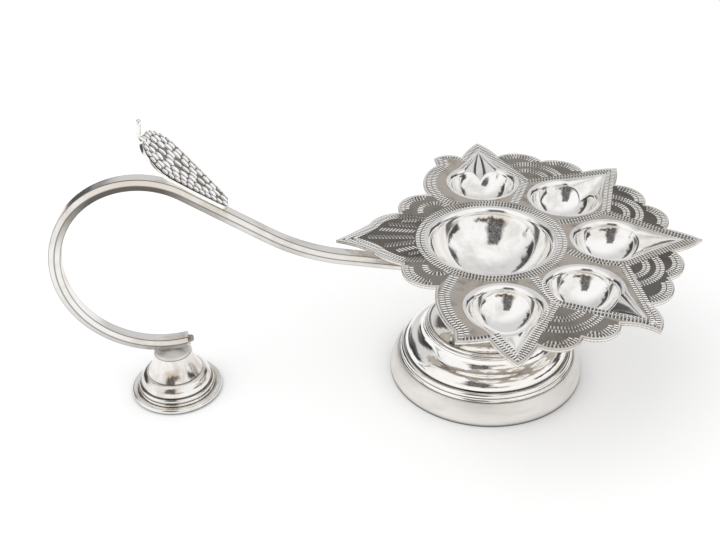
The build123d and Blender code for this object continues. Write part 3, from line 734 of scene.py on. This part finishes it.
def bend_path(start, heading, runs):
    """Points (x, z) and headings along straights (length, 0) and arcs (length, turn in degrees), turning
    left where the turn is positive; the heading grows evenly along each arc."""
    place, heading = np.array(start, float), np.radians(heading)
    places, headings = [place], [heading]
    for length, turn_degrees in runs:
        steps = 2 if turn_degrees == 0 else int(abs(turn_degrees) / 1.5) + 2
        for part in np.linspace(0, 1, steps)[1:]:
            turn = np.radians(turn_degrees) * part
            chord = length * part * np.sinc(turn / 2 / np.pi)
            way = heading + turn / 2
            places.append(place + chord * np.array([np.cos(way), np.sin(way)]))
            headings.append(heading + turn)
        place, heading = places[-1], headings[-1]
    return np.array(places), np.array(headings)


def swept(places, headings, section):
    """Rings of points of a section (across, up) carried along a path in the plane y = 0; up is to the right
    of the way as seen from -y."""
    up = np.stack([np.sin(headings), -np.cos(headings)], axis=1)
    flat = places[:, None, :] + section[None, :, 1:] * up[:, None, :]
    return np.stack([flat[..., 0], section[:, 0] + 0 * flat[..., 0], flat[..., 1]], axis=-1)


def closed(rings):
    """Adds a point in the middle of the first and of the last ring, which closes the ends."""
    ends = [np.tile(ring.mean(axis=0), (1, len(ring), 1)) for ring in (rings[0], rings[-1])]
    return np.concatenate([ends[0], rings, ends[1]])


root_slope, bar_start, bend_place = 11.0, np.array([-19.24, 50.15]), 56.8
first_run = (bend_place + bar_start[0]) / np.cos(np.radians(root_slope))
bar_places, bar_headings = bend_path(bar_start, 180 - root_slope, [
    (first_run, 0), (77.0 * np.radians(23.0), -23.0), (36.2, 0),
    (31.6 * np.radians(93.2), 93.2), (37.5 * np.radians(133.8), 133.8),
])
rod_corners = [(2.8, 0), (2.2, 2.25), (-2.2, 2.25), (-2.8, 0), (-2.2, -2.25), (2.2, -2.25)]
# The rod's six corners get painted dark reflection lines, CORNER_DARKNESS deep.
CORNER_REACH, CORNER_DARKNESS, ROOT_BITE = 0.24, 0.85, 0.2
rod_seams = [(*corner, CORNER_REACH) for corner in rod_corners]
rod = finer(softened(rod_corners, 0.1), rod_seams)
bar_rings = swept(bar_places, bar_headings, rod)
root_way = np.array([-np.cos(np.radians(root_slope)), 0.0, np.sin(np.radians(root_slope))])
from_ball = bar_rings[0] - [0.0, 0.0, TRAY_TOP - depth + ball]
along_way = from_ball @ root_way
reach = ball + wall - ROOT_BITE
to_wall = np.sqrt(along_way**2 - (from_ball**2).sum(axis=1) + reach**2) - along_way
bar_rings[0] += to_wall[:, None] * root_way


def rod_metal():
    """Silver with painted shade on faces that look down, deepest high up and on the loop."""
    material = silver(
        "rod_silver", (0.87, 0.855, 0.835), (0.66, 0.61, 0.555), 0.12, 0.26, 5e-5, (0.8, 2, 0.8))
    tree = material.node_tree
    place = node(tree, "TexCoord")
    facing = node(tree, "SeparateXYZ", Vector=place.outputs["Normal"])
    spot = node(tree, "SeparateXYZ", Vector=place.outputs["Object"])
    under = ramp(tree, facing.outputs["Z"], -0.05, -0.22)
    high = ramp(tree, spot.outputs["Z"], 0.035, 0.075, 0.35, 0.95)
    loop = ramp(tree, spot.outputs["X"], -0.095, -0.122, 0.2)
    share = worked(tree, "MULTIPLY", worked(tree, "MULTIPLY", under, high), loop)
    # Dark tone of the painted shade under the rod.
    darkened(material, share, (0.09, 0.078, 0.066, 1))
    return material


rod_marks = np.tile(CORNER_DARKNESS * seam_marks(rod, rod_seams), (len(bar_rings) + 2, 1))
rod_piece = sheet("handle_rod", closed(bar_rings), round_columns=True, marks=rod_marks)
fitted(rod_piece, rod_metal(), "satin_silver", "handle_bar")

# End plug: a small rounded pin of brown old solder in the rod's open end.
plug_metal = silver("plug_metal", (0.40, 0.345, 0.29), (0.25, 0.21, 0.17), 0.28, 0.5, 4e-5)
finished("handle_end_plug", plug_metal)

# Small foot: five turned rings under the rod's free end, from the flange on the table up to the cap.
FOOT_PLACE = bar_places[-1, 0] - 6.8
foot_silver = silver(
    "foot_silver", (0.90, 0.88, 0.855), (0.64, 0.59, 0.53), 0.07, 0.20, 1.1e-4, (1.5, 1.5, 0.7))
# The seams paint a dark contact line round the flange's foot and shade in the grooves between the rings.
foot_rings = (
    ("foot_rim", "foot_flange", [
        [(8.4, 0.0), (17.6, 0.0)],
        arc((17.6, 0.0), (17.6, 2.0), 0.5)[1:],
        [(17.6, 2.0), (16.1, 2.0), (14.9, 1.3), (8.4, 1.3)],
    ], 0.16, [(17.6, 0.0, 0.7), (14.9, 1.3, 0.3)]),
    ("foot_step", "foot_step_ring", [
        [(8.4, 1.3)],
        arc((14.9, 1.3), (14.9, 2.7), 0.35),
        arc((14.8, 2.9), (14.4, 4.7), 0.4),
        [(14.4, 4.7), (8.4, 4.7)],
    ], 0.08, [(14.9, 1.3, 0.3), (14.85, 2.8, 0.2), (14.4, 4.7, 0.25)]),
    ("foot_roll", "foot_roll_ring", [
        [(8.4, 4.7)],
        arc((14.0, 4.7), (11.4, 9.2), 0.9),
        [(11.4, 9.2), (8.4, 9.2)],
    ], 0.15, [(14.0, 4.7, 0.3)]),
    ("foot_bell_shell", "foot_bell", [
        arc((11.0, 9.2), (7.4, 18.61), -0.55),
        [(7.4, 18.61), (6.2, 18.61)],
        arc((6.2, 18.61), (9.8, 9.2), 0.55),
        [(9.8, 9.2)],
    ], 0.12, [(11.0, 9.2, 0.3), (7.4, 18.61, 0.3)]),
)
for foot_ring in foot_rings:
    turned(*foot_ring, foot_silver, place=FOOT_PLACE, segments=128)
finished("foot_cap", satin_silver)

# Thumb leaf: a thick cast leaf soldered upright on the rod, with a dark ground and bright raised work.
LEAF_ORIGIN = np.array([-98.0, 0.0, 80.64])
LEAF_WAY = np.array([-0.7009, 0.0, 0.7133])
LEAF_FACE = np.array([0.7133, 0.0, 0.7009])
LEAF_SIDE = np.array([0.0, -1.0, 0.0])
LEAF_END, LEAF_TOP, GROUND_LIFT, CUSHION_RISE = 42.5, 2.0, 0.02, 0.5


def on_leaf(points):
    """Points of the leaf (along, aside, over its back) in the lamp's frame."""
    along, aside, over = (np.asarray(points, float)[..., k:k + 1] for k in range(3))
    return LEAF_ORIGIN + along * LEAF_WAY + aside * LEAF_SIDE + over * LEAF_FACE


leaf_edge = np.vstack([
    [(2.6, 0.2), (2.6, 2.4)], arc((4.6, 4.3), (29.5, 13.4), -0.3, 48),
    arc((29.5, 13.4), (LEAF_END, 1.3), -4.6, 40), [(LEAF_END, 1.3)],
])
leaf_run = run_of(leaf_edge)
leaf_stations = taken(np.linspace(0, leaf_run[-1], 110), leaf_run, leaf_edge)
round_turn = np.linspace(0, 2 * np.pi, 40, endpoint=False)
corner_cos, corner_sin = (
    np.sign(part) * np.abs(part) ** 0.35 for part in (np.cos(round_turn), np.sin(round_turn))
)
leaf_rings = np.stack([
    np.stack([along + 0 * round_turn, half_width * corner_cos, 1.0 + corner_sin], axis=1)
    for along, half_width in leaf_stations
])
leaf_silver = silver("leaf_silver", (0.98, 0.97, 0.955), (0.88, 0.85, 0.81), 0.07, 0.17, 4e-5)
leaf_dark = silver("leaf_dark", (0.30, 0.272, 0.244), (0.18, 0.163, 0.146), 0.35, 0.5, 6e-5)
leaf_plate = sheet("leaf_plate", on_leaf(closed(leaf_rings)), round_columns=True)
fitted(leaf_plate, leaf_silver, "cast_silver", "thumb_leaf")


def leaf_line(distance, middle=0.15):
    """Line at a distance inside the leaf's right edge, as far as it stays beyond middle on that half."""
    line = softened(leaf_edge[1:], 0.5, closed=False)
    inner = line - distance * side_ways(line)[1]
    return inner[(inner[:, 1] > middle) & (inner[:, 0] > 3.0) & (inner[:, 0] < LEAF_END - 0.6)]


ground_line = leaf_line(0.3)
ground_grid = np.stack([
    np.c_[ground_line[:, 0], ground_line[:, 1] * share, np.full(len(ground_line), LEAF_TOP + GROUND_LIFT)]
    for share in np.linspace(-1, 1, 9)
])
fitted(sheet("leaf_ground", on_leaf(ground_grid), solid=False), leaf_dark, "cast_silver")


def dome(along, aside, long_radius, wide_radius, turn_angle, rings=6, around=14):
    """Cushion on the leaf's face, an oval drawn a little square: its height falls off as the cosine, to
    the power 0.35, of the way out to its edge, so its top is nearly flat."""
    out = np.linspace(0, np.pi / 2, rings)[:, None]
    turn = np.linspace(0, 2 * np.pi, around, endpoint=False)
    square_x, square_y = (np.sign(part) * np.abs(part) ** 0.75 for part in (np.cos(turn), np.sin(turn)))
    x, y = long_radius * np.sin(out) * square_x, wide_radius * np.sin(out) * square_y
    c, s = np.cos(turn_angle), np.sin(turn_angle)
    height = LEAF_TOP + CUSHION_RISE * np.abs(np.cos(out)) ** 0.35 + 0 * turn - GROUND_LIFT
    return np.stack([along + c * x - s * y, aside + s * x + c * y, height], axis=-1)


def many(name, stands_for, grids):
    """One piece of many small grids on the leaf's face, and their mirror images on its other half. The
    attribute seam rises to 1 at each one's edge, a painted dark outline of shade round each cushion."""
    both = [on_leaf(grid * [1, flip, 1]) for grid in grids for flip in (1, -1)]
    marks = [np.repeat(np.linspace(0, 1, len(grid)) ** 4, grid.shape[1]) for grid in both]
    piece = smoothed(gathered(name, both, round_columns=True), np.hstack(marks))
    return fitted(piece, leaf_silver, "cast_silver", stands_for)


def along_line(line, pitch, start=0.0):
    """Places (along, aside, heading) at even steps along a line of the leaf."""
    run = run_of(line)
    count = max(int((run[-1] - start) / pitch), 1)
    steps = start + (np.arange(count) + 0.5) * (run[-1] - start) / count
    way = taken(steps, run, side_ways(line)[0])
    return np.c_[taken(steps, run, line), np.arctan2(way[:, 1], way[:, 0])]


# Relief of the leaf: a chain of cushions along both edges, rows of longer cushions beside it, and a row of
# ovals down the middle.
chain = along_line(leaf_line(1.25), 2.75, 0.6)
cushions = [dome(*place[:2], 1.36, 1.2, place[2]) for place in chain]
many("leaf_edge_cushions", "leaf_border_rings", cushions)
rows = []
for distance, pitch, long_radius, wide_radius, skew in (
    (3.95, 3.3, 1.66, 1.55, 0.0), (7.0, 3.9, 1.98, 1.6, 0.08), (10.15, 4.1, 2.08, 1.6, 0.12),
):
    for along, aside, heading in along_line(leaf_line(distance, 1.9), pitch):
        rows.append(dome(along, aside, long_radius, wide_radius, heading + skew))
rows += [dome(along, 0.0, 1.85, 1.35, 0.0) for along in np.arange(5.5, 39.0, 3.6)]
many("leaf_rows", "leaf_midrib", rows)

# Tip of the leaf: drawn out into a small tapering hook that stands up.
HOOK_ROOT = 2.6
hook_start = (LEAF_ORIGIN + (LEAF_END - HOOK_ROOT) * LEAF_WAY + 0.5 * LEAF_TOP * LEAF_FACE)[[0, 2]]
hook_run = [(HOOK_ROOT, 0), (3.0 * np.radians(52), -52), (2.6, 0), (2.6, 0), (0.5, 0)]
hook_places, hook_headings = bend_path(hook_start, 134.5, hook_run)
hook_turn = np.linspace(0, 2 * np.pi, 16, endpoint=False)
hook_section = np.stack([1.3 * np.cos(hook_turn), 1.0 * np.sin(hook_turn)], axis=1)
hook_rings = swept(hook_places, hook_headings, hook_section)
hook_left = 1 - np.linspace(0, 1, len(hook_rings))
hook_thick, hook_wide = 0.85 + 0.85 * hook_left**1.3, 0.75 + 0.8 * hook_left**2
hook_size = np.stack([hook_thick, hook_wide, hook_thick], axis=1)[:, None, :]
hook_size[-1] = 0.35
hook_middle = hook_rings.mean(axis=1, keepdims=True)
hook_rings = hook_middle + (hook_rings - hook_middle) * hook_size
hook = sheet("leaf_hook", closed(hook_rings), round_columns=True)
fitted(hook, leaf_silver, "cast_silver", "leaf_tip_curl")

# Stage: a plain white floor, a soft lamp from the upper left and a white studio. The studio has a dark
# figure in front and dark openings behind and at the sides, which the silver shows.
FLOOR_LEFT, FLOOR_RIGHT, FLOOR_FRONT, FLOOR_BACK, FLOOR_HEIGHT = -750.0, 600.0, -900.0, 360.0, -0.03
floor = shaped("floor", [
    (FLOOR_LEFT, FLOOR_FRONT, FLOOR_HEIGHT), (FLOOR_RIGHT, FLOOR_FRONT, FLOOR_HEIGHT),
    (FLOOR_RIGHT, FLOOR_BACK, FLOOR_HEIGHT), (FLOOR_LEFT, FLOOR_BACK, FLOOR_HEIGHT),
], [(0, 1, 2, 3)])
floor_paint = bpy.data.materials.new("floor_paint")
floor_paint.use_nodes = True
paint = floor_paint.node_tree
floor_shader = paint.nodes["Principled BSDF"]
feed(floor_shader.inputs["Base Color"], (0.97, 0.97, 0.97, 1))
feed(floor_shader.inputs["Roughness"], 0.9)
feed(floor_shader.inputs["Specular IOR Level"], 0.1)
# Ambient occlusion darkens the floor's glow near the lamp: a painted contact shadow.
floor_contact_shade = node(paint, "AmbientOcclusion", samples=8, Distance=0.011)
floor_light = node(paint, "Emission", Color=floor_contact_shade.outputs["Color"], Strength=1.2)
floor_path = node(paint, "LightPath").outputs
floor_seen = worked(paint, "MAXIMUM", floor_path["Is Camera Ray"], floor_path["Is Glossy Ray"])
floor_share = worked(paint, "MULTIPLY", floor_seen, 0.35)
floor_mix = node(paint, "MixShader", floor_share, floor_shader.outputs[0], floor_light.outputs[0])
feed(paint.nodes["Material Output"].inputs["Surface"], floor_mix.outputs[0])
floor.data.materials.append(floor_paint)

lamp_data = bpy.data.lights.new("soft_lamp", "SUN")
lamp_data.energy = 0.9
lamp_data.angle = np.radians(60)
lamp = bpy.data.objects.new("soft_lamp", lamp_data)
lamp.rotation_euler = Vector((0.45, 0.12, -0.8)).to_track_quat("-Z", "Y").to_euler()
lamp.visible_glossy = False
scene.collection.objects.link(lamp)

world = bpy.data.worlds.new("studio")
scene.world = world
world.use_nodes = True
sky = world.node_tree
sky.nodes.clear()
direction = node(sky, "TexCoord").outputs["Generated"]
split = node(sky, "SeparateXYZ", Vector=direction).outputs
azimuth = worked(sky, "ARCTAN2", split["Y"], split["X"])
rise = worked(sky, "ARCSINE", split["Z"])
rough_edge = noise(sky, direction, 9.0, 3.0, 0.6)
ragged = worked(sky, "MULTIPLY", worked(sky, "SUBTRACT", rough_edge, 0.5), 0.3)


def edged(value, low, high):
    """Rise from 0 at low to 1 at high, both in degrees, with a ragged edge."""
    return ramp(sky, worked(sky, "ADD", value, ragged), np.radians(low), np.radians(high), smooth=True)


def opening(turn, half_turn, low, high, soft):
    """Patch of the studio: 1 within half_turn of the compass angle turn and between the heights low and
    high, and 0 outside, over a soft edge, all in degrees."""
    off = worked(sky, "ABSOLUTE", worked(sky, "SUBTRACT", azimuth, np.radians(turn)))
    side = edged(off, half_turn + soft, half_turn - soft)
    top = edged(rise, high + soft / 2, high - soft / 2)
    foot = edged(rise, low - soft / 2, low + soft / 2)
    return worked(sky, "MULTIPLY", side, worked(sky, "MULTIPLY", top, foot))


mottle = ramp(sky, noise(sky, direction, 22.0, 3.0, 0.7), 0.66, 0.36, smooth=True)
figure_darkness = worked(sky, "ADD", 0.66, worked(sky, "MULTIPLY", mottle, 0.32))
DARK_PARTS = (
    (-110.0, 18.5, 13.0, 62.0, 5.0, figure_darkness),
    (-96.0, 27.0, 11.0, 17.0, 4.0, 0.90),
    (29.0, 21.0, 13.0, 33.0, 6.0, 0.88),
    (131.0, 18.0, 13.0, 37.0, 7.0, 0.85),
    (-8.0, 26.0, 5.0, 17.0, 4.0, 0.92),
    (146.0, 16.0, 5.0, 28.0, 4.0, 0.92),
    (125.0, 14.0, -14.0, 12.0, 4.0, 0.90),
)
shade = 0.0
for *patch, darkness in DARK_PARTS:
    shade = worked(sky, "MAXIMUM", shade, worked(sky, "MULTIPLY", opening(*patch), darkness))
far_wall = ramp(sky, split["Y"], -0.1, 0.45, smooth=True)
over_horizon = ramp(sky, split["Z"], 0.08, 0.3, smooth=True)
behind = worked(sky, "MULTIPLY", far_wall, over_horizon)
wall_light = worked(sky, "SUBTRACT", 1.0, worked(sky, "MULTIPLY", behind, 0.3))
studio_light = worked(sky, "MULTIPLY", wall_light, worked(sky, "SUBTRACT", 1.0, shade))
WHITE, WARM = (1.0, 1.0, 1.0, 1), (0.90, 0.83, 0.75, 1)
seen = node(sky, "LightPath").outputs["Is Camera Ray"]
tint = blend(sky, opening(-105.0, 34.0, -4.0, 20.0, 8.0), WHITE, WARM)
shown = node(sky, "Mix", seen, None, studio_light, 1.0, data_type="FLOAT")
background = node(sky, "Background", Color=blend(sky, seen, tint, WHITE), Strength=shown.outputs[0])
node(sky, "OutputWorld", Surface=background.outputs[0])

# Camera at the photograph's viewing angle.
IMAGE_WIDTH, FOCAL_PIXELS, SENSOR_WIDTH = 720, 1155.2, 36.0
CAMERA_PLACE = (-0.0785, -0.3722, 0.2963)
yaw, pitch, roll = np.radians([4.26, 33.33, 1.32])
turns = ((-yaw, "Z"), (np.pi / 2 - pitch, "X"), (-roll, "Z"))
camera_data = bpy.data.cameras.new("camera")
camera_data.sensor_fit = "HORIZONTAL"
camera_data.sensor_width = SENSOR_WIDTH
camera_data.lens = SENSOR_WIDTH * FOCAL_PIXELS / IMAGE_WIDTH
camera_data.clip_start = 0.01
camera = bpy.data.objects.new("camera", camera_data)
aim = Matrix.Translation(CAMERA_PLACE)
for turn, axis in turns:
    aim = aim @ Matrix.Rotation(turn, 4, axis)
camera.matrix_world = aim
scene.collection.objects.link(camera)
scene.camera = camera
scene.view_settings.view_transform = "Standard"
